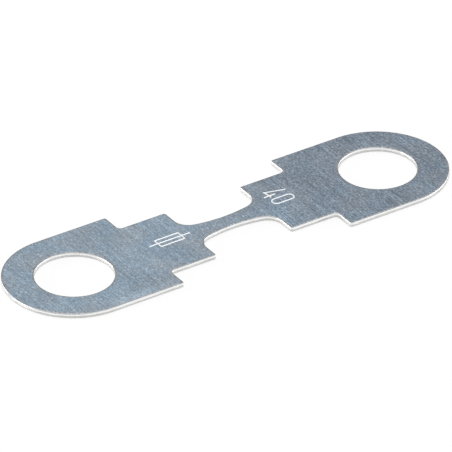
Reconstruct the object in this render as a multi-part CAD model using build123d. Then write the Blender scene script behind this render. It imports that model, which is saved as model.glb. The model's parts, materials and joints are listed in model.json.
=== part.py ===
"""Bolt-down strip fuse: one flat blank punched from thin zinc sheet.

Two round-ended terminals, each with a stud hole, step down through a blade to a
narrow waisted neck.  The neck has the smallest section, so it melts first.

Frame: +X along the strip, +Y across it, +Z out of the face that the punch enters.
The origin is the middle of the neck, on the underside, and the strip lies flat on
that side.  All sizes are in millimetres.
"""

import os
from math import radians, tan

from build123d import *

# Sheet
SHEET_THICKNESS = 0.4

# Terminals
HOLE_SPACING = 30.0  # from one stud to the other
HOLE_DIAMETER = 6.6  # clearance for an M6 stud
TERMINAL_WIDTH = 12.0  # also the diameter of the rounded ends

# Blades, the steps between the terminals and the neck
BLADE_LENGTH = 4.5  # from the terminal's square shoulder to the neck
BLADE_WIDTH = 7.8

# Neck
NECK_LENGTH = 7.4  # from blade to blade
WAIST_WIDTH = 1.6  # at the middle of the neck
WAIST_RADIUS = 12.0  # the long shallow curve of each side
ROOT_RADIUS = 1.4  # where each side turns into the end of a blade

# Corners of the outline
INSIDE_CORNER_RADIUS = 0.35
OUTSIDE_CORNER_RADIUS = 0.2

# Punched edge.  Its zones grow with the sheet, so each is a share of the thickness.
ROLLOVER_SHARE = 0.3  # the rim that the punch draws down before it cuts
FRACTURE_SHARE = 0.35  # the lower part of the edge, torn instead of cut
FRACTURE_ANGLE = 10.0  # degrees that the torn part leans in from square

SHOULDER_SPACING = NECK_LENGTH + 2 * BLADE_LENGTH


def outward_slot(length, start):
    """A gap of this length along X, from y = start outwards past the terminals."""
    return Pos(0, start) * Rectangle(length, TERMINAL_WIDTH, align=(Align.CENTER, Align.MIN))


def neck_notch():
    """The gap beside the neck, on the +Y side."""
    side_curve = Pos(0, WAIST_WIDTH / 2 + WAIST_RADIUS) * Circle(WAIST_RADIUS)
    notch = outward_slot(NECK_LENGTH, 0) & side_curve
    roots = notch.vertices().group_by(Axis.Y)[0]
    return fillet(roots, ROOT_RADIUS)


def corners(outline, length, width):
    """The outline's vertices at the four corners of a centred rectangle."""
    places = [(x, y, 0) for x in (-length / 2, length / 2) for y in (-width / 2, width / 2)]
    return [outline.vertices().sort_by_distance(place)[0] for place in places]


def blank_outline():
    """Plan of the strip without its holes, with every corner rounded."""
    outline = SlotCenterToCenter(HOLE_SPACING, TERMINAL_WIDTH)
    for notch in (outward_slot(SHOULDER_SPACING, BLADE_WIDTH / 2), neck_notch()):
        outline -= [notch, mirror(notch, Plane.XZ)]
    outline = fillet(corners(outline, SHOULDER_SPACING, BLADE_WIDTH), INSIDE_CORNER_RADIUS)
    terminal_corners = corners(outline, SHOULDER_SPACING, TERMINAL_WIDTH)
    blade_corners = corners(outline, NECK_LENGTH, BLADE_WIDTH)
    return fillet(terminal_corners + blade_corners, OUTSIDE_CORNER_RADIUS)


def stud_holes():
    """Plan of the two stud holes, each concentric with its rounded end."""
    return GridLocations(HOLE_SPACING, 0, 2, 1) * Circle(HOLE_DIAMETER / 2)


def fuse_strip():
    """The blank cut through the sheet, then given the form of its punched edge."""
    strip = extrude(blank_outline() - stud_holes(), SHEET_THICKNESS)
    face = strip.faces().sort_by(Axis.Z)[-1]
    strip = fillet(face.edges(), ROLLOVER_SHARE * SHEET_THICKNESS)

    underside = strip.faces().sort_by(Axis.Z)[0]
    fracture_height = FRACTURE_SHARE * SHEET_THICKNESS
    fracture_setback = fracture_height * tan(radians(FRACTURE_ANGLE))
    return chamfer(underside.edges(), fracture_setback, fracture_height, reference=underside)


os.makedirs("parts", exist_ok=True)
strip = fuse_strip()
strip.label = "fuse_strip"
export_step(strip, "parts/fuse_strip.step")
size = strip.bounding_box().size
print(f"fuse_strip: {size.X:.2f} x {size.Y:.2f} x {size.Z:.2f} mm, {strip.volume:.2f} mm3")
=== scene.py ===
# %% [markdown]
# # A bolt-down strip fuse in zinc
#
# The whole fuse is one flat blank, punched out of thin zinc sheet: two round
# terminals with stud holes, two narrower blades, and the waisted neck that melts when
# the current is too high. Nothing is joined to it and nothing moves.
#
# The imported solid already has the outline. What makes the real strip look real is how
# it was made: a rolled face with a fine grain, an edge that is drawn down at the top,
# sheared bright in the middle and torn at the bottom, and marks struck into the face.
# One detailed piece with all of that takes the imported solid's place.

import json
from math import asin, atan2, cos, degrees, exp, pi, radians, sin, sqrt

import bmesh
import bpy
from mathutils import Matrix, Vector, noise
from mathutils.bvhtree import BVHTree


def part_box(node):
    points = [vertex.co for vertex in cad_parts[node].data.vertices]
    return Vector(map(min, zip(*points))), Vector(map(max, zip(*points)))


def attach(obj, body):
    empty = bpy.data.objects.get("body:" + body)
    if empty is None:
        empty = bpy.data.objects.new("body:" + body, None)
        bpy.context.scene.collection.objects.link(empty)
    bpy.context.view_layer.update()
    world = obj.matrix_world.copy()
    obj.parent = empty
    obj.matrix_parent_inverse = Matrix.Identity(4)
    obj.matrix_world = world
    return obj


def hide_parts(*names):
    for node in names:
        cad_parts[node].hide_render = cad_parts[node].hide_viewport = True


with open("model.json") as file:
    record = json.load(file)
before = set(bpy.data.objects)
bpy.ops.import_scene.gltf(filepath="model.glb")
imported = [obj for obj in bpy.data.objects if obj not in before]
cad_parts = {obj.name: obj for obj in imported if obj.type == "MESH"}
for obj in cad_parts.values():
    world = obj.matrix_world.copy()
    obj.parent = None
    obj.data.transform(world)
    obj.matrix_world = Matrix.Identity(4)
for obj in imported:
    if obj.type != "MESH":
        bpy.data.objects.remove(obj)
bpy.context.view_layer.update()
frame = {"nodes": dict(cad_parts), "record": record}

# %% [markdown]
# ## Sizes
#
# The strip is modelled in millimetres, like a drawing of it, and made metres at the
# end. Blender's fill and merge tools have fixed tolerances of a few hundredths of a
# unit, which would be coarse on a part that is 0.0004 units thick.
#
# Overall sizes and the stud holes are read from the frame and its record. The steps of
# the outline between them are the drawing's own.

# %% Sizes from the frame and the drawing
MM = 0.001
low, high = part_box("fuse_strip")
STRIP_WIDTH = (high[1] - low[1]) / MM
SHEET = (high[2] - low[2]) / MM
stud_hole = {m["name"]: m for m in frame["record"]["mounts"]}["right_stud_hole"]
HOLE_X = stud_hole["pos_m"][0] / MM
HOLE_RADIUS = stud_hole["dims"]["r_mm"]

BLADE_LENGTH = 4.5
BLADE_WIDTH = 7.8
NECK_LENGTH = 7.4
WAIST_WIDTH = 1.6
WAIST_RADIUS = 12.0
ROOT_RADIUS = 1.4
INSIDE_CORNER = 0.35
OUTSIDE_CORNER = 0.2
OUTLINE_STEP = 0.1  # between neighbouring points of the outline
print(f"sheet {SHEET:.2f} mm, strip {STRIP_WIDTH:.1f} mm wide, holes at {HOLE_X:.1f} mm")

# %% [markdown]
# ## The outline, drawn with a pen
#
# The outline is straight runs and tangent arcs. It could be typed as points, but then
# no one could see its radii. A small pen draws it instead: it goes forward, and it
# turns left or right on a radius. Both are bmesh spins of the last vertex, one with a
# step to the side and no angle, the other with an angle about a centre.


# %% A pen that draws runs and arcs
class OutlinePen:
    """Draws a wire of even steps in plan, from a start that heads along +X."""

    def __init__(self, blank, start):
        self.blank = blank
        self.tip = blank.verts.new(start)
        self.heading = Vector((1, 0, 0))

    def spin(self, distance, **motion):
        """Spins the tip over this distance and keeps the vertex that it ends on."""
        steps = max(1, round(distance / OUTLINE_STEP))
        if "dvec" in motion:
            motion["dvec"] = motion["dvec"] / steps
        drawn = bmesh.ops.spin(
            self.blank, geom=[self.tip], axis=(0, 0, 1), steps=steps, **motion
        )
        self.tip = next(v for v in drawn["geom_last"] if isinstance(v, bmesh.types.BMVert))

    def forward(self, distance):
        """Goes straight on."""
        self.spin(distance, angle=0, cent=(0, 0, 0), dvec=self.heading * distance)

    def turn(self, radius, angle):
        """Turns on a radius, left for a positive angle in degrees and right for a negative one."""
        to_left = Vector((-self.heading.y, self.heading.x, 0))
        centre = self.tip.co + to_left * (radius if angle > 0 else -radius)
        self.spin(radius * abs(radians(angle)), angle=radians(angle), cent=centre)
        self.heading = Matrix.Rotation(radians(angle), 3, "Z") @ self.heading


# %% [markdown]
# The strip is the same in all four quarters, so the pen draws one, from the middle of
# the neck to the tip of the right end, and two mirrors make the rest. The waist's long
# curve runs into the root's short one where both head the same way, which fixes how
# far the first of them turns.

# %% One quarter of the outline, mirrored twice
blank = bmesh.new()
pen = OutlinePen(blank, (0, WAIST_WIDTH / 2, 0))
waist_turn = degrees(asin((NECK_LENGTH / 2 - ROOT_RADIUS) / (WAIST_RADIUS - ROOT_RADIUS)))
pen.turn(WAIST_RADIUS, waist_turn)
pen.turn(ROOT_RADIUS, 90 - waist_turn)
pen.forward(BLADE_WIDTH / 2 - OUTSIDE_CORNER - pen.tip.co.y)
pen.turn(OUTSIDE_CORNER, -90)
pen.forward(BLADE_LENGTH - OUTSIDE_CORNER - INSIDE_CORNER)
pen.turn(INSIDE_CORNER, 90)
pen.forward(STRIP_WIDTH / 2 - OUTSIDE_CORNER - pen.tip.co.y)
pen.turn(OUTSIDE_CORNER, -90)
pen.forward(HOLE_X - pen.tip.co.x)
pen.turn(STRIP_WIDTH / 2, -90)

for axis in "YX":
    quarter = blank.verts[:] + blank.edges[:]
    bmesh.ops.mirror(blank, geom=quarter, matrix=Matrix(), axis=axis, merge_dist=0.001)
way_round = sum(e.calc_length() for e in blank.edges)
print(f"outline of {len(blank.verts)} points, {way_round:.1f} mm round")

# %% [markdown]
# ## The sheet and its punched edge
#
# The two stud holes are circles in the same plane, and one fill makes the sheet with
# its holes. The edge is then built up in rings. Each ring insets the flat region a
# little and moves it up or down, so the strip's section is a list of insets and
# heights, as a toolmaker would describe a sheared edge:
#
# - the rollover, a quarter of an ellipse that the punch draws down before it cuts;
# - the burnished band, which is square to the face and shiny;
# - the torn band, which leans in towards the underside.
#
# A bevel modifier could round the top rim, but it couldn't give three different bands,
# and a bevel across filled triangles tends to pinch.

# %% Fill the sheet and pull it into a thin slab
for side in (-1, 1):
    bmesh.ops.create_circle(
        blank,
        radius=HOLE_RADIUS,
        segments=round(2 * pi * HOLE_RADIUS / OUTLINE_STEP),
        matrix=Matrix.Translation((side * HOLE_X, 0, 0)),
    )
bmesh.ops.triangle_fill(blank, use_beauty=True, use_dissolve=False, edges=blank.edges[:])
blank.normal_update()

TORN_HEIGHT = 0.36 * SHEET
ROLLOVER_HEIGHT = 0.22 * SHEET
ROLLOVER_WIDTH = 0.18
TORN_LEAN = 0.01
RIM_BREAK = 0.008  # the tiny flat along the very bottom of the edge

underside = blank.faces[:]
raised = bmesh.ops.extrude_face_region(blank, geom=underside)["geom"]
face = [f for f in raised if isinstance(f, bmesh.types.BMFace)]
bmesh.ops.translate(blank, vec=(0, 0, TORN_HEIGHT), verts=blank.verts[:])
print(f"sheet of {len(face)} triangles, {sum(f.calc_area() for f in face):.1f} square mm")

# %% [markdown]
# The slab so far is only as thick as the torn band. From here the rings are added one at
# a time: upwards from the top face for the burnished band and the rollover, and
# downwards from the underside for the torn one. The rollover's rings are closest where
# its ellipse bends most, so that its highlight runs smoothly along the rim.

# %% Build the edge in rings
def add_ring(region, inset, lift):
    """Insets a flat region and moves it up or down, which leaves one ring of faces behind."""
    bmesh.ops.inset_region(
        blank, faces=region, thickness=inset, use_boundary=True, use_even_offset=True
    )
    corners = {v for f in region for v in f.verts}
    bmesh.ops.translate(blank, vec=(0, 0, lift), verts=list(corners))


def rollover_inset(rise):
    """How far in the rollover has come when it has risen this share of its height."""
    return ROLLOVER_WIDTH * (1 - sqrt(1 - min(rise, 1) ** 2))


def rollover_tilt(rise):
    """The rollover's slope there in degrees, from 90 at its foot to 0 at the face."""
    share = max(0, min(rise, 1))
    return degrees(atan2(ROLLOVER_HEIGHT * sqrt(1 - share**2), ROLLOVER_WIDTH * share))


BURNISH_RINGS, ROLLOVER_RINGS, TORN_RINGS = 3, 8, 4
burnish_height = SHEET - TORN_HEIGHT - ROLLOVER_HEIGHT
for _ in range(BURNISH_RINGS):
    add_ring(face, 0, burnish_height / BURNISH_RINGS)
rises = [sin(pi / 2 * step / ROLLOVER_RINGS) for step in range(ROLLOVER_RINGS + 1)]
for below, above in zip(rises, rises[1:]):
    inset = rollover_inset(above) - rollover_inset(below)
    add_ring(face, inset, (above - below) * ROLLOVER_HEIGHT)
for _ in range(TORN_RINGS):
    add_ring(underside, TORN_LEAN / TORN_RINGS, -(TORN_HEIGHT - RIM_BREAK) / TORN_RINGS)
add_ring(underside, RIM_BREAK, -RIM_BREAK)
add_ring(underside, RIM_BREAK, 0)
print(f"edge of {len(blank.faces) - len(face) - len(underside)} faces in rings")

# %% [markdown]
# ## Marks struck into the face
#
# The rating is struck with a fine engraving punch: single strokes with rounded ends,
# each a shallow groove with a soft lip that the metal was pushed up into. The strokes
# cross each other, so cutting each as its own channel would need a join at every
# crossing. Instead, a fine grid patch is laid where the marks go, and each of its
# points sinks by its distance to the nearest stroke. Crossings then come out right by
# themselves.
#
# Two kinds of stroke are enough, a straight run and a closed loop. For each, a function
# gives the distance from any point to the stroke's middle line. A third one turns that
# distance into the height of the metal.

# %% Strokes as distances
GROOVE_HALF_WIDTH = 0.078
GROOVE_DEPTH = 0.019
LIP_HEIGHT = 0.004
LIP_REACH, LIP_SPREAD = 1.4, 0.3  # in half widths of the groove
END_SWELL = 1.25  # the punch dwells where a stroke starts and stops


def from_run(point, start, end, pressure=1.0):
    """Distance from a straight stroke, in terms of its width, which follows the pressure."""
    along = end - start
    share = max(0, min(1, (point - start).dot(along) / along.length_squared))
    distance = (point - start - along * share).length
    to_end = min((point - start).length, (point - end).length)
    return min(distance / pressure, to_end / END_SWELL)


def from_loop(point, centre, half_size, corner):
    """Distance from the line of a box with rounded corners."""
    away = point - centre
    beyond = Vector((abs(away.x) - half_size[0] + corner, abs(away.y) - half_size[1] + corner))
    outside = Vector((max(beyond.x, 0), max(beyond.y, 0))).length
    return abs(outside + min(max(beyond.x, beyond.y), 0) - corner)


def groove_height(distance):
    """Height of the struck surface over the face, at this distance from a stroke."""
    reach = distance / GROOVE_HALF_WIDTH
    sunk = GROOVE_DEPTH * (1 + cos(pi * min(reach, 1))) / 2
    lip = LIP_HEIGHT * exp(-(((reach - LIP_REACH) / LIP_SPREAD) ** 2))
    return lip - sunk


print(f"grooves {2 * GROOVE_HALF_WIDTH:.3f} mm wide and {-groove_height(0):.3f} mm deep")

# %% [markdown]
# The rating is a plain number, which is read with the right end of the strip held up.
# On the other blade is the drafting symbol for a fuse, a box on a line, struck with the
# same punch. A font would give letters with an outline, and a punch draws single lines,
# so the digits are written down as the strokes that the hand would make. The last value
# of a run is how hard the punch was pressed.

# %% The number and the symbol
DIGIT_HEIGHT = 1.96
FOUR_AT = Vector((4.64, 1.95))  # the foot of the digit's left edge
NOUGHT_AT = Vector((5.65, 0.3))
NOUGHT_HALF_SIZE = (1.02, 0.39)
NOUGHT_CORNER = 0.36
SYMBOL_AT = Vector((-5.65, 0.15))
SYMBOL_BOX_HALF_SIZE = (1.15, 0.52)
SYMBOL_BOX_CORNER = 0.04
SYMBOL_HALF_LINE = 1.9


def on_four(across, up):
    """A place on the digit. It reads towards -Y and stands up towards +X."""
    return FOUR_AT + Vector((up * DIGIT_HEIGHT, -across))


FOUR = [
    (on_four(0.48, 1.0), on_four(0.0, 0.11), 0.75),
    (on_four(0.0, 0.13), on_four(0.85, 0.17), 1.25),
    (on_four(0.66, -0.08), on_four(0.63, 0.44), 1.1),
]


def from_number(point):
    """Distance from the nearest stroke of the two digits."""
    runs = [from_run(point, *stroke) for stroke in FOUR]
    return min(*runs, from_loop(point, NOUGHT_AT, NOUGHT_HALF_SIZE, NOUGHT_CORNER))


def from_symbol(point):
    """Distance from the symbol's line or its box, whichever is nearer."""
    reach = Vector((SYMBOL_HALF_LINE, 0))
    line = from_run(point, SYMBOL_AT - reach, SYMBOL_AT + reach)
    box = from_loop(point, SYMBOL_AT, SYMBOL_BOX_HALF_SIZE, SYMBOL_BOX_CORNER)
    return min(line, box)


print(f"digits {DIGIT_HEIGHT:.2f} mm high, symbol {2 * SYMBOL_HALF_LINE:.1f} mm long")

# %% [markdown]
# The flat top goes, and a fine grid lies level with it round each mark. The punch also
# wiped the dulled skin out of its grooves. How bare the metal is goes into an attribute
# of the points, "struck", which the material reads later. It drops off over the outer
# half of the groove, so the border of the bright line is soft but narrow.

# %% Lay the two patches and sink the grooves
PATCH_STEP = 0.02
NUMBER_PATCH_AT, NUMBER_PATCH_SIZE = (5.7, 0.95), (2.8, 2.7)
SYMBOL_PATCH_SIZE = (4.4, 1.7)
struck = blank.verts.layers.float.new("struck")


def strike_patch(centre, size, distance_from):
    """A fine grid level with the face, sunk along the strokes."""
    counts = [round(length / PATCH_STEP) for length in size]
    place = Matrix.Translation((*centre, SHEET)) @ Matrix.Diagonal((*size, 1, 1))
    grid = bmesh.ops.create_grid(
        blank, x_segments=counts[0], y_segments=counts[1], size=0.5, matrix=place
    )
    for vertex in grid["verts"]:
        distance = distance_from(vertex.co.to_2d())
        vertex.co.z += groove_height(distance)
        vertex[struck] = max(0, min(1, 2.1 - 2 * distance / GROOVE_HALF_WIDTH))
    return {f for vertex in grid["verts"] for f in vertex.link_faces}


bmesh.ops.delete(blank, geom=face, context="FACES")
patches = strike_patch(NUMBER_PATCH_AT, NUMBER_PATCH_SIZE, from_number)
patches |= strike_patch(SYMBOL_AT, SYMBOL_PATCH_SIZE, from_symbol)
print(f"{len(patches)} faces in the struck patches")

# %% [markdown]
# The patches lie inside the hole that the deleted face left. One more fill closes the
# face round them and round the stud holes. It is truly flat, so it stays flat shaded,
# and only the rings and the patches are smooth: a smooth normal that leaned over the
# rim would otherwise smear a false gradient across the whole terminal.

# %% Close the face round the patches
open_edges = [e for e in blank.edges if e.is_boundary]
bmesh.ops.triangle_fill(blank, use_beauty=True, use_dissolve=False, edges=open_edges)
bmesh.ops.recalc_face_normals(blank, faces=blank.faces[:])
for each in blank.faces:
    level = all(abs(v.co.z - each.verts[0].co.z) < 1e-5 for v in each.verts)
    each.smooth = each in patches or not level
print("open edges left:", sum(e.is_boundary for e in blank.edges))

# %% [markdown]
# ## What the press left on the edge
#
# A sheared edge is never as clean as its section. The torn band is grainy and its upper
# border wanders, and the whole rim wavers by a few thousandths of a millimetre. On the
# left end, where the blank was parted from the coil, the rim isn't drawn down at all
# for about a millimetre, and the face runs out square to the edge.
#
# Small moves along the normals, by smooth noise, do the first two. They need a soft step
# and noise of a given size, which come first.

# %% A soft step and smooth noise
def smoothstep(value, start, end):
    """0 up to the start and 1 from the end on, with a soft change between them."""
    share = max(0, min(1, (value - start) / (end - start)))
    return share * share * (3 - 2 * share)


def wander(place, wavelength):
    """Smooth noise from -1 to 1 that changes over about this many millimetres."""
    return noise.noise(place / wavelength)


# %% [markdown]
# Two more attributes are written here. "torn" is 1 on the torn band and 0 above it, with
# a border that wanders up and down. "tilt" is how steep the rollover is, from 0 on the
# face to 1 where it is upright. A displacement modifier could roughen the edge as well,
# but then the colour of the torn metal and its relief wouldn't share one border.

# %% Wavering rim and torn grain
TORN_SHOWS = 0.5 * SHEET
TORN_BORDER_WANDER = 0.2  # as a share of the band's height
TORN_BORDER_BLUR = 0.03
TORN_DEPTH = 0.006
RIM_WAVER = 0.004
tilt = blank.verts.layers.float.new("tilt")
torn = blank.verts.layers.float.new("torn")
blank.normal_update()
edge_points = {v for f in blank.faces if f.smooth and f not in patches for v in f.verts}
for vertex in edge_points:
    place = vertex.co.copy()
    rise = (place.z - SHEET + ROLLOVER_HEIGHT) / ROLLOVER_HEIGHT
    border = TORN_SHOWS * (1 + TORN_BORDER_WANDER * wander(place.xy.to_3d(), 0.7))
    start, end = border - TORN_BORDER_BLUR, border + TORN_BORDER_BLUR
    vertex[torn] = 1 - smoothstep(place.z, start, end)
    vertex[tilt] = rollover_tilt(rise) / 90
    if place.z < 1e-6:
        vertex[tilt] = vertex[torn] = 0
        continue
    if rise < 1 - 1e-4:
        outward = Vector((vertex.normal.x, vertex.normal.y, 0))
        grain = wander(place, 0.06) + wander(place, 0.15)
        relief = -TORN_DEPTH * abs(grain) * vertex[torn] + RIM_WAVER * wander(place, 0.9)
        vertex.co += outward * relief
print(f"{len(edge_points)} points on the punched edge")

# %% [markdown]
# The parting mark is a short stretch at the very left where the rim has no rollover. The
# points of the rollover there go back out to the corner that they were rounded from, by
# a share that falls to nothing on both sides of the mark.

# %% The parting mark
PARTING_Y = 0.1
PARTING_HALF_WIDTH = 0.62
PARTING_FADE = 0.06
PARTING_INSET = 0.03  # a sharp corner still has this much left of its rounding
PARTING_LIFT = 0.85


def parting_share(place):
    """1 on the parting mark, falling to 0 beside it."""
    aside = abs(place.y - PARTING_Y)
    start, end = PARTING_HALF_WIDTH - PARTING_FADE, PARTING_HALF_WIDTH + PARTING_FADE
    return 1 - smoothstep(aside, start, end)


left_centre = Vector((-HOLE_X, 0, 0))
parted = []
for vertex in edge_points:
    share = parting_share(vertex.co)
    outwards = (vertex.co - left_centre).to_2d()
    on_left_rim = outwards.x < 0 and outwards.length > (HOLE_RADIUS + STRIP_WIDTH / 2) / 2
    if share and on_left_rim and vertex.co.z > SHEET - ROLLOVER_HEIGHT:
        reach = STRIP_WIDTH / 2 - PARTING_INSET - outwards.length
        vertex.co += outwards.normalized().to_3d() * reach * share
        vertex.co.z += (SHEET - vertex.co.z) * PARTING_LIFT * share
        parted.append(vertex)
print(f"{len(parted)} of them in the parting mark")

# %% [markdown]
# ## The finished mesh
#
# The blank becomes metres and an ordinary object at the origin. As a test of the
# drawing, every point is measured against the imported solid's surface.

# %% Make the piece
bmesh.ops.scale(blank, vec=(MM, MM, MM), verts=blank.verts[:])
mesh = bpy.data.meshes.new("zinc_fuse_strip")
blank.to_mesh(mesh)
blank.free()
fuse_strip = bpy.data.objects.new("zinc_fuse_strip", mesh)
bpy.context.collection.objects.link(fuse_strip)

packed = frame["nodes"]["fuse_strip"]
packed_surface = BVHTree.FromObject(packed, bpy.context.evaluated_depsgraph_get())
gaps = [packed_surface.find_nearest(v.co)[3] for v in mesh.vertices]
triangles = sum(len(p.vertices) - 2 for p in mesh.polygons)
print(f"{triangles} triangles, at most {max(gaps) / MM:.3f} mm from the packed solid")

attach(fuse_strip, "root")
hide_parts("fuse_strip")

# %% [markdown]
# ## Zinc, worked three ways
#
# The rolled face is dulled to a slate grey, with a fine grain that runs straight across
# the strip. Where the punch and the dies bared the metal it is nearly white, and where
# it tore it is a matt light grey. One metal material holds all three, mixed by the
# amounts that the mesh carries in its attributes, so the borders are as soft as they
# are on the real strip.
#
# Node trees take many small steps. These helpers make a node, link a chain of sockets,
# and put either a number or another node's output into a socket.

# %% Small helpers for node trees
def new_node(tree, kind, **settings):
    """Adds a node. Settings that name a socket set its value, and others its properties."""
    node = tree.nodes.new(kind)
    for name, value in settings.items():
        if hasattr(node, name):
            setattr(node, name, value)
        else:
            node.inputs[name.replace("_", " ")].default_value = value
    return node


def join(tree, *route):
    """Links each output to the input after it: output, input, output, input and so on."""
    for source, target in zip(route[::2], route[1::2]):
        tree.links.new(source, target)


def feed(tree, value, socket):
    """Links an output to the socket, or sets the socket to a number or a colour."""
    if isinstance(value, bpy.types.NodeSocket):
        tree.links.new(value, socket)
    else:
        socket.default_value = value


# %% [markdown]
# Four steps come up again and again in the material: a sum or a product, a soft ramp
# from 0 to 1, a mix of two colours, and noise of a size that is given in millimetres.
# The noise is centred, so it adds as much as it takes away, and a stretch makes it
# longer along one axis.

# %% Sums, ramps, mixes and noise
def math(tree, operation, *values):
    """One step of arithmetic on numbers or outputs."""
    node = new_node(tree, "ShaderNodeMath", operation=operation)
    for value, socket in zip(values, node.inputs):
        feed(tree, value, socket)
    return node.outputs[0]


def ramp(tree, value, start, end):
    """0 where the value is at the start and 1 at the end, with a soft change between."""
    node = new_node(tree, "ShaderNodeMapRange", interpolation_type="SMOOTHSTEP")
    for each, name in ((value, "Value"), (start, "From Min"), (end, "From Max")):
        feed(tree, each, node.inputs[name])
    return node.outputs[0]


def blend(tree, share, first, second, kind="MIX"):
    """The first colour, with this share of the second mixed or multiplied in."""
    node = new_node(tree, "ShaderNodeMix", data_type="RGBA", blend_type=kind)
    for value, index in ((share, 0), (first, 6), (second, 7)):
        feed(tree, value, node.inputs[index])
    return node.outputs[2]


def shaded(tree, colour, level):
    """The colour, lighter or darker by this factor."""
    grey = new_node(tree, "ShaderNodeCombineColor")
    for socket in grey.inputs:
        feed(tree, level, socket)
    return blend(tree, 1.0, colour, grey.outputs[0], "MULTIPLY")


def noise_of(tree, place, size, detail=2.0, stretch=(1, 1, 1)):
    """Noise about zero, of a size in millimetres."""
    scaled = new_node(tree, "ShaderNodeMapping")
    scaled.inputs["Scale"].default_value = [1 / (size * MM * each) for each in stretch]
    node = new_node(tree, "ShaderNodeTexNoise", Scale=1.0, Detail=detail)
    join(tree, place, scaled.inputs[0], scaled.outputs[0], node.inputs["Vector"])
    return math(tree, "SUBTRACT", node.outputs[0], 0.5)


# %% [markdown]
# ### The rolling grain
#
# Rolled and brushed sheet shows streaks: millimetres long in one direction, a few
# hundredths of a millimetre wide in the other. An image could hold them, but at this
# scale it would have to be huge. Noise in stretched coordinates does the same with two
# numbers. It is a node group, so that the material can use it at several sizes.

# %% A node group for streaks
def make_streak_group():
    """Noise about zero, Width wide in X and Z, and Length long in Y, both in metres."""
    group = bpy.data.node_groups.new("rolled streaks", "ShaderNodeTree")
    for name, kind in (("Vector", "Vector"), ("Width", "Float"), ("Length", "Float")):
        group.interface.new_socket(name, in_out="INPUT", socket_type="NodeSocket" + kind)
    group.interface.new_socket("Streak", in_out="OUTPUT", socket_type="NodeSocketFloat")
    given, made = group.nodes.new("NodeGroupInput"), group.nodes.new("NodeGroupOutput")

    apart = new_node(group, "ShaderNodeSeparateXYZ")
    join(group, given.outputs["Vector"], apart.inputs[0])
    together = new_node(group, "ShaderNodeCombineXYZ")
    for axis, size in (("X", "Width"), ("Y", "Length"), ("Z", "Width")):
        scaled = math(group, "DIVIDE", apart.outputs[axis], given.outputs[size])
        join(group, scaled, together.inputs[axis])
    streaks = new_node(group, "ShaderNodeTexNoise", Scale=1.0, Detail=2.0, Roughness=0.6)
    join(group, together.outputs[0], streaks.inputs["Vector"])
    join(group, math(group, "SUBTRACT", streaks.outputs[0], 0.5), made.inputs[0])
    return group


streak_group = make_streak_group()
print("nodes in the streak group:", len(streak_group.nodes))


def streaks_of(tree, place, width, length):
    """Places the group, for streaks of this width and length in millimetres."""
    node = new_node(tree, "ShaderNodeGroup", node_tree=streak_group)
    for name, value in (("Vector", place), ("Width", width * MM), ("Length", length * MM)):
        feed(tree, value, node.inputs[name])
    return node.outputs["Streak"]


# %% [markdown]
# ### The grain of the rolled face
#
# Five layers of light and dark make the face's tone: fine and broad streaks, short
# scratches between them, slow clouds where the sheet was handled, and a few bright
# flecks. They are added, and an exponential turns the sum into a factor, so light and
# dark stay in balance. The fine streaks are stronger in some places than in others, and
# the contrast of the grain grows towards the darker right end.

# %% Five layers of tone
FINE_STREAKS, BROAD_STREAKS, SCRATCHES, CLOUDS, FLECKS = 1.1, 0.15, 1.75, 0.45, 0.3
GRAIN_ON_LEFT, GRAIN_GAIN = 0.81, 0.32  # contrast at the left end, and what the right adds


def along_strip(tree, place):
    """0 at the left end and 1 at the right one, with the change about the neck."""
    apart = new_node(tree, "ShaderNodeSeparateXYZ")
    join(tree, place, apart.inputs[0])
    return ramp(tree, apart.outputs["X"], -4 * MM, 10 * MM)


def face_tone(tree, place, fine):
    """The factor by which the grain makes the face lighter or darker."""
    worn = math(tree, "MULTIPLY_ADD", noise_of(tree, place, 5.0, 1.0), 2.5, 1.0)
    tone = math(tree, "MULTIPLY", math(tree, "MULTIPLY", fine, worn), FINE_STREAKS)
    broad = streaks_of(tree, place, 0.15, 9.0)
    tone = math(tree, "MULTIPLY_ADD", broad, BROAD_STREAKS, tone)
    scratches = noise_of(tree, place, 0.12, 2.0, (1, 1.7, 1))
    tone = math(tree, "MULTIPLY_ADD", scratches, SCRATCHES, tone)
    contrast = math(tree, "MULTIPLY_ADD", along_strip(tree, place), GRAIN_GAIN, GRAIN_ON_LEFT)
    tone = math(tree, "MULTIPLY", tone, contrast)
    tone = math(tree, "MULTIPLY_ADD", noise_of(tree, place, 4.0, 4.0), CLOUDS, tone)
    flecks = ramp(tree, noise_of(tree, place, 0.12, 1.0, (1, 3, 1)), 0.1, 0.22)
    tone = math(tree, "MULTIPLY_ADD", flecks, FLECKS, tone)
    return math(tree, "EXPONENT", tone)


# %% [markdown]
# ### The colour of the rolled face
#
# The colour is painted lighter at the left end and darker at the right, from a paler blue
# grey to a darker one: this is painted shading, as the studio light falls off along the strip.
# There are faint warm and cool stains, which are weaker on the right. Along one long edge
# of the left terminal the dulled skin is rubbed thin, and there it is a little lighter.
# All of it is placed in the strip's own coordinates, so it needs no painted mask.

# %% Colour with painted shading, stains and the rubbed edge
# The two end colours paint shading into the skin: the left end lighter and the right end darker,
# as the light falls off along the strip.
FACE_LEFT_WITH_PAINTED_LIGHT = (0.281, 0.346, 0.409, 1)
FACE_RIGHT_WITH_PAINTED_SHADE = (0.222, 0.266, 0.317, 1)
WARM_STAIN = (1.07, 0.993, 0.94, 1)
COOL_STAIN = (0.93, 1.007, 1.06, 1)
STAIN_SWING, STAIN_LOSS = 2.3, -0.7  # at the left end, and the change to the right
RUBBED_X = (-15.5, -13.5, -12.0, -8.5)  # mm where it starts, is full, starts to fade, ends
RUBBED_Y = (-4.6, -5.7)
RUBBED_LIFT = 0.3


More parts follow.
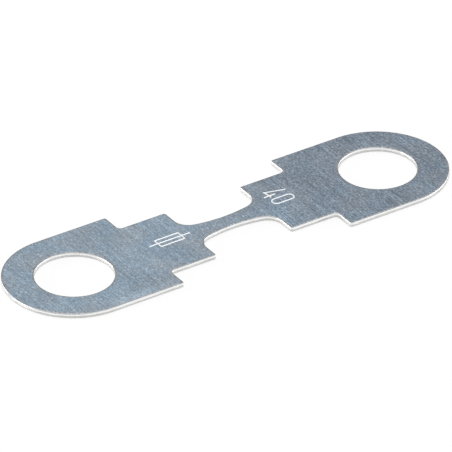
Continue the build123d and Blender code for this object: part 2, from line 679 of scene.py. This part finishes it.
def rubbed_share(tree, place):
    """How far the skin is rubbed thin, from 0 to about 1."""
    apart = new_node(tree, "ShaderNodeSeparateXYZ")
    join(tree, place, apart.inputs[0])
    x = [value * MM for value in RUBBED_X]
    share = ramp(tree, apart.outputs["X"], x[0], x[1])
    fading = ramp(tree, apart.outputs["X"], x[2], x[3])
    share = math(tree, "MULTIPLY", share, math(tree, "SUBTRACT", 1.0, fading))
    near_edge = ramp(tree, apart.outputs["Y"], RUBBED_Y[0] * MM, RUBBED_Y[1] * MM)
    share = math(tree, "MULTIPLY", share, near_edge)
    uneven = math(tree, "MULTIPLY_ADD", noise_of(tree, place, 0.5, 3.0), 2.0, 1.0)
    return math(tree, "MULTIPLY", share, uneven)


def face_colour_and_painted_shade(tree, place):
    """The dulled skin's colour before the grain, with painted shading: lighter at the left end,
    darker at the right.
    """
    swing = math(tree, "MULTIPLY_ADD", along_strip(tree, place), STAIN_LOSS, STAIN_SWING)
    stain = math(tree, "MULTIPLY_ADD", noise_of(tree, place, 3.0, 6.0), swing, 0.5)
    # Painted shading: the skin goes from the lighter left colour to the darker right one.
    colour = blend(tree, along_strip(tree, place), FACE_LEFT_WITH_PAINTED_LIGHT, FACE_RIGHT_WITH_PAINTED_SHADE)
    colour = blend(tree, 1.0, colour, blend(tree, stain, WARM_STAIN, COOL_STAIN), "MULTIPLY")
    lift = math(tree, "MULTIPLY_ADD", rubbed_share(tree, place), RUBBED_LIFT, 1.0)
    return shaded(tree, colour, lift)


# %% [markdown]
# ### The whole material
#
# The tilt of the rollover decides where the dulled skin ends. The skin first turns
# neutral where it is drawn over the rim, then it is gone and the bare zinc shows. The
# struck marks are bare as well. The punch drags fine upright lines down the bared band,
# and the torn band is grainy, so each has its own noise.
#
# It all goes into one Principled shader. The grain also varies its roughness and its
# bump a little, because a streak that only changes colour looks printed on.

# %% The zinc material
BARED_ZINC = (0.92, 0.925, 0.93, 1)
TORN_ZINC = (0.75, 0.75, 0.735, 1)
DRAWN_SKIN = (0.28, 0.28, 0.285, 1)
GRAZING_TINT = (0.5, 0.5, 0.5, 1)
SKIN_IS_DRAWN_AT = 0.12  # tilts of the rollover, where 0 is flat and 1 is upright
ZINC_SHOWS_FROM, ZINC_IS_BARE_AT = 0.33, 0.6
ROUGHNESS, GRAIN_ROUGHNESS, TORN_ROUGHNESS = 0.28, 0.3, 0.25
GRAIN_BUMP = 0.004  # mm


def make_zinc():
    """The dulled skin, the bared zinc and the torn zinc in one material."""
    material = bpy.data.materials.new("punched zinc")
    material.use_nodes = True
    tree = material.node_tree
    metal = tree.nodes["Principled BSDF"]
    metal.inputs["Specular Tint"].default_value = GRAZING_TINT
    place = new_node(tree, "ShaderNodeTexCoord").outputs["Object"]
    tilt, torn, struck = (
        new_node(tree, "ShaderNodeAttribute", attribute_name=name).outputs["Fac"]
        for name in ("tilt", "torn", "struck")
    )
    fine = streaks_of(tree, place, 0.06, 3.4)
    dragged = noise_of(tree, place, 0.035, 2.0, (1, 1, 12))
    crumbs = noise_of(tree, place, 0.05, 3.0)

    drawn = ramp(tree, tilt, 0.0, SKIN_IS_DRAWN_AT)
    skin = blend(tree, drawn, face_colour_and_painted_shade(tree, place), DRAWN_SKIN)
    skin = shaded(tree, skin, face_tone(tree, place, fine))
    bared = shaded(tree, BARED_ZINC, math(tree, "MULTIPLY_ADD", dragged, 0.35, 1.0))
    ragged = shaded(tree, TORN_ZINC, math(tree, "MULTIPLY_ADD", crumbs, 0.7, 1.0))
    bare = ramp(tree, tilt, ZINC_SHOWS_FROM, ZINC_IS_BARE_AT)
    bare = math(tree, "MAXIMUM", struck, bare)
    colour = blend(tree, torn, blend(tree, bare, skin, bared), ragged)
    join(tree, colour, metal.inputs["Base Color"])

    join(tree, math(tree, "MULTIPLY_ADD", torn, -0.5, 1.0), metal.inputs["Metallic"])
    rough = math(tree, "MULTIPLY_ADD", fine, GRAIN_ROUGHNESS, ROUGHNESS)
    rough = math(tree, "MULTIPLY_ADD", torn, TORN_ROUGHNESS, rough)
    join(tree, rough, metal.inputs["Roughness"])
    relief = math(tree, "MULTIPLY_ADD", math(tree, "MULTIPLY", crumbs, torn), 2.0, fine)
    bump = new_node(tree, "ShaderNodeBump", Strength=0.5, Distance=GRAIN_BUMP * MM)
    join(tree, relief, bump.inputs["Height"], bump.outputs[0], metal.inputs["Normal"])
    return material


fuse_strip.data.materials.append(make_zinc())
print("nodes in the zinc material:", len(fuse_strip.data.materials[0].node_tree.nodes))

# %% [markdown]
# ## The table
#
# The strip lies on a plain white table. A little less than half of its whiteness is its
# own colour, which the light falls on and the strip shades. The rest is a glow that only
# camera, glossy and transmission rays see, so the table comes out white, and the bared
# metal reflects it as white, while no light is added to the strip.

# %% A white table
TABLE_SIZE = 4.0
TABLE_COLOUR = (0.5, 0.5, 0.5, 1)
TABLE_GLOW = 0.55


def seen_rays(tree):
    """1 for a camera, glossy or transmission ray, and 0 for the rays that carry light."""
    ray = new_node(tree, "ShaderNodeLightPath").outputs
    mirrored = math(tree, "MAXIMUM", ray["Is Glossy Ray"], ray["Is Transmission Ray"])
    return ray["Is Camera Ray"], mirrored


def make_table_material():
    """A matt white with a glow that adds no light to the strip."""
    material = bpy.data.materials.new("white table")
    material.use_nodes = True
    tree = material.node_tree
    matt = tree.nodes["Principled BSDF"]
    matt.inputs["Base Color"].default_value = TABLE_COLOUR
    matt.inputs["Roughness"].default_value = 1.0
    matt.inputs["Specular IOR Level"].default_value = 0.0
    glow = new_node(tree, "ShaderNodeEmission")
    level = math(tree, "MULTIPLY", math(tree, "MAXIMUM", *seen_rays(tree)), TABLE_GLOW)
    join(tree, level, glow.inputs["Strength"])
    both = new_node(tree, "ShaderNodeAddShader")
    join(tree, matt.outputs[0], both.inputs[0], glow.outputs[0], both.inputs[1])
    join(tree, both.outputs[0], tree.nodes["Material Output"].inputs["Surface"])
    return material


grid = bmesh.new()
bmesh.ops.create_grid(grid, x_segments=1, y_segments=1, size=TABLE_SIZE / 2)
table = bpy.data.objects.new("table", bpy.data.meshes.new("table"))
grid.to_mesh(table.data)
grid.free()
bpy.context.collection.objects.link(table)
table.data.materials.append(make_table_material())
print(f"table of {TABLE_SIZE} by {TABLE_SIZE} m")

# %% [markdown]
# ## Soft studio light
#
# Most of the light comes evenly from a white room. What is seen and mirrored of the
# room is pure white, but for the side that the camera stands on. There it is dimmer, as
# in a real studio, and the edges that face it turn a soft grey instead of melting into
# the table.

# %% The white room
ROOM_LEVEL = 0.64
NEAR_SIDE = (-0.74, -0.67, 0.0)  # unit direction of the dimmer side
NEAR_LEVEL = 0.4
NEAR_STARTS, NEAR_IS_FULL = 0.3, 0.85  # cosines of the angle from it

world = bpy.data.worlds.new("studio")
bpy.context.scene.world = world
world.use_nodes = True
tree = world.node_tree
direction = new_node(tree, "ShaderNodeTexCoord").outputs["Generated"]
nearness = new_node(tree, "ShaderNodeVectorMath", operation="DOT_PRODUCT")
nearness.inputs[1].default_value = NEAR_SIDE
join(tree, direction, nearness.inputs[0])
near = ramp(tree, nearness.outputs["Value"], NEAR_STARTS, NEAR_IS_FULL)
room = math(tree, "MULTIPLY_ADD", near, NEAR_LEVEL - 1, 1.0)
seen, mirrored = seen_rays(tree)
level = math(tree, "MULTIPLY_ADD", mirrored, math(tree, "SUBTRACT", room, ROOM_LEVEL), ROOM_LEVEL)
level = math(tree, "MAXIMUM", level, seen)
join(tree, level, tree.nodes["Background"].inputs["Strength"])
tree.nodes["Background"].inputs["Color"].default_value = (1, 1, 1, 1)
print(f"the room lights the strip at {ROOM_LEVEL} of white")

# %% [markdown]
# Three softboxes give the light a direction. A wide one hangs overhead and is about as
# bright as the room. Two long, narrow and much brighter ones stand behind the strip, to
# the left and to the right, and whiten the cut edges that face them. They stand low, for
# then the upright edges get most of their light, and the flat face mirrors them only
# to somebody who looks along the table.
#
# Their brightness is written as the level of their face, where 1 is white, and the
# lamp's energy follows from it and from its size.

# %% Three softboxes
SOFTBOXES = {  # place and size in metres, and the level of the face
    "overhead softbox": ((0.02, 0.0, 0.35), (0.5, 0.45), 0.62),
    "left softbox": ((-0.306, 0.257, 0.05), (0.5, 0.08), 6.0),
    "right softbox": ((0.385, -0.110, 0.05), (0.5, 0.08), 3.4),
}
for name, (place, size, level) in SOFTBOXES.items():
    lamp = bpy.data.lights.new(name, "AREA")
    lamp.shape = "RECTANGLE"
    lamp.size, lamp.size_y = size
    lamp.energy = level * pi * size[0] * size[1]
    softbox = bpy.data.objects.new(name, lamp)
    softbox.location = place
    softbox.rotation_euler = (-softbox.location).to_track_quat("-Z", "Y").to_euler()
    bpy.context.collection.objects.link(softbox)
    print(f"{name}: {lamp.energy:.2f} W")

# %% [markdown]
# ## The camera
#
# A long lens from half a metre away keeps a small part's edges nearly parallel. The
# camera is set by the point that it aims at, its distance and its angles, which are
# easier to change by hand than a position and a rotation that have to agree.

# %% Aim the camera
CAMERA_TURN = radians(33.44)  # to the right of looking along +Y
CAMERA_DIP = radians(31.92)  # below level
CAMERA_ROLL = radians(-0.10)
CAMERA_AIM = Vector((-0.63, -0.64, SHEET)) * MM
CAMERA_DISTANCE = 527.3 * MM
FOCAL_LENGTH = 509.8

camera_data = bpy.data.cameras.new("camera")
camera_data.lens = FOCAL_LENGTH
camera_data.sensor_width = 36.0
camera_data.clip_start = 0.01
camera = bpy.data.objects.new("camera", camera_data)
facing = (
    Matrix.Rotation(-CAMERA_TURN, 4, "Z")
    @ Matrix.Rotation(pi / 2 - CAMERA_DIP, 4, "X")
    @ Matrix.Rotation(CAMERA_ROLL, 4, "Z")
)
back_off = Matrix.Translation((0, 0, CAMERA_DISTANCE))
camera.matrix_world = Matrix.Translation(CAMERA_AIM) @ facing @ back_off
bpy.context.collection.objects.link(camera)
bpy.context.scene.camera = camera
bpy.context.scene.view_settings.view_transform = "Standard"
print("camera at", [round(value, 4) for value in camera.matrix_world.translation])
